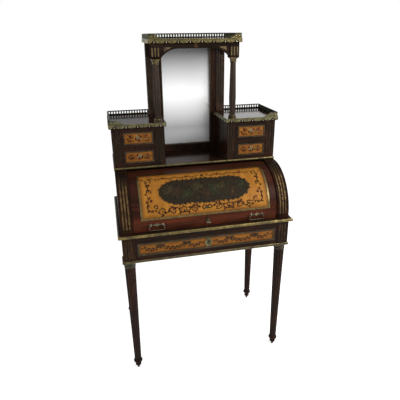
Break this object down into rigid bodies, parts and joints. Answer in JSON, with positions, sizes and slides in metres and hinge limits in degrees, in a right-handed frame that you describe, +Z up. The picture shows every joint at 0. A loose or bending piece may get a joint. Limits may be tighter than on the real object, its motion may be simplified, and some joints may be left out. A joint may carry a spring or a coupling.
{
  "type": "bonheur du jour writing desk",
  "caption": "Small French cylinder writing desk with fluted legs, painted panels, brass mouldings and a mirrored superstructure of drawer boxes and a columned canopy",
  "frame": {"origin": "on the floor under the middle of the desk's outer box", "axes": "+X to the right seen from the front, -Y out of the front, +Z up"},
  "size_m": [0.798, 0.49, 1.55],
  "materials": {
    "mahogany": "dark polished veneer with fine grain, redder where light falls",
    "drawer_lining": "plain dry oak",
    "brass": "old cast and rolled brass with dull olive patina",
    "flute_brass": "darkened brass strip in the flutes",
    "key_metal": "worn bright at the bow",
    "painted_satinwood": "golden satinwood painted with foliage and flowers under varnish",
    "leather": "dark green tooled skiver",
    "mirror": "plain silvered plate"
  },
  "bodies": {
    "carcass": {"apron_moulding": "brass", "apron_rails": "mahogany", "box_galleries": "brass", "box_left_case": "mahogany", "box_right_case": "mahogany", "box_tops": "mahogany", "canopy_frieze": "mahogany", "canopy_gallery": "brass", "canopy_inlays": "brass", "canopy_top": "mahogany", "case_back": "mahogany", "cheek_left": "mahogany", "cheek_right": "mahogany", "column_brasses": "brass", "columns": "mahogany", "desk_bed": "mahogany", "desk_moulding": "brass", "flute_linings": "flute_brass", "leg_collars": "brass", "leg_front_left": "mahogany", "leg_front_right": "mahogany", "leg_rear_left": "mahogany", "leg_rear_right": "mahogany", "mirror_bead": "brass", "mirror_frame": "mahogany", "mirror_glass": "mirror", "pigeonholes": "mahogany", "rear_pilasters": "mahogany", "upper_moulding": "brass", "upper_slab": "mahogany"},
    "cylinder": {"cylinder_shell": "mahogany", "cylinder_frame": "brass", "cylinder_panel": "painted_satinwood", "cylinder_arms": "mahogany", "handle_posts": "brass", "cylinder_lock": "brass"},
    "handle_left": {"handle_left": "brass"},
    "handle_right": {"handle_right": "brass"},
    "key": {"cylinder_key": "key_metal"},
    "slide": {"writing_slide": "mahogany", "writing_leather": "leather", "slide_moulding": "brass"},
    "frieze_drawer": {"frieze_drawer_front": "mahogany", "frieze_drawer_frame": "brass", "frieze_drawer_panel": "painted_satinwood", "frieze_drawer_tray": "drawer_lining", "frieze_drawer_lock": "brass"},
    "drawer_left_lower": {"drawer_left_lower": "mahogany", "drawer_left_lower_frame": "brass", "drawer_left_lower_panel": "painted_satinwood"},
    "drawer_left_upper": {"drawer_left_upper": "mahogany", "drawer_left_upper_frame": "brass", "drawer_left_upper_panel": "painted_satinwood"},
    "drawer_right_lower": {"drawer_right_lower": "mahogany", "drawer_right_lower_frame": "brass", "drawer_right_lower_panel": "painted_satinwood"},
    "drawer_right_upper": {"drawer_right_upper": "mahogany", "drawer_right_upper_frame": "brass", "drawer_right_upper_panel": "painted_satinwood"}
  },
  "joints": [
    {"name": "cylinder_turn", "type": "hinge", "parent": "carcass", "child": "cylinder", "pos_m": [0, -0.02, 0.771], "axis": [-1, 0, 0], "range_deg": [0, 72]},
    {"name": "handle_left_swing", "type": "hinge", "parent": "cylinder", "child": "handle_left", "pos_m": [-0.228, -0.2251, 0.7837], "axis": [-1, 0, 0], "range_deg": [0, 60]},
    {"name": "handle_right_swing", "type": "hinge", "parent": "cylinder", "child": "handle_right", "pos_m": [0.228, -0.2251, 0.7837], "axis": [-1, 0, 0], "range_deg": [0, 60]},
    {"name": "key_turn", "type": "hinge", "parent": "cylinder", "child": "key", "pos_m": [0, -0.205, 0.7795], "axis": [0, -1, 0], "range_deg": [-90, 90]},
    {"name": "writing_slide_pull", "type": "slide", "parent": "carcass", "child": "slide", "axis": [0, -1, 0], "range_m": [0, 0.18]},
    {"name": "frieze_drawer_pull", "type": "slide", "parent": "carcass", "child": "frieze_drawer", "axis": [0, -1, 0], "range_m": [0, 0.28]},
    {"name": "drawer_left_lower_pull", "type": "slide", "parent": "carcass", "child": "drawer_left_lower", "axis": [0, -1, 0], "range_m": [0, 0.15]},
    {"name": "drawer_left_upper_pull", "type": "slide", "parent": "carcass", "child": "drawer_left_upper", "axis": [0, -1, 0], "range_m": [0, 0.15]},
    {"name": "drawer_right_lower_pull", "type": "slide", "parent": "carcass", "child": "drawer_right_lower", "axis": [0, -1, 0], "range_m": [0, 0.15]},
    {"name": "drawer_right_upper_pull", "type": "slide", "parent": "carcass", "child": "drawer_right_upper", "axis": [0, -1, 0], "range_m": [0, 0.15]}
  ]
}
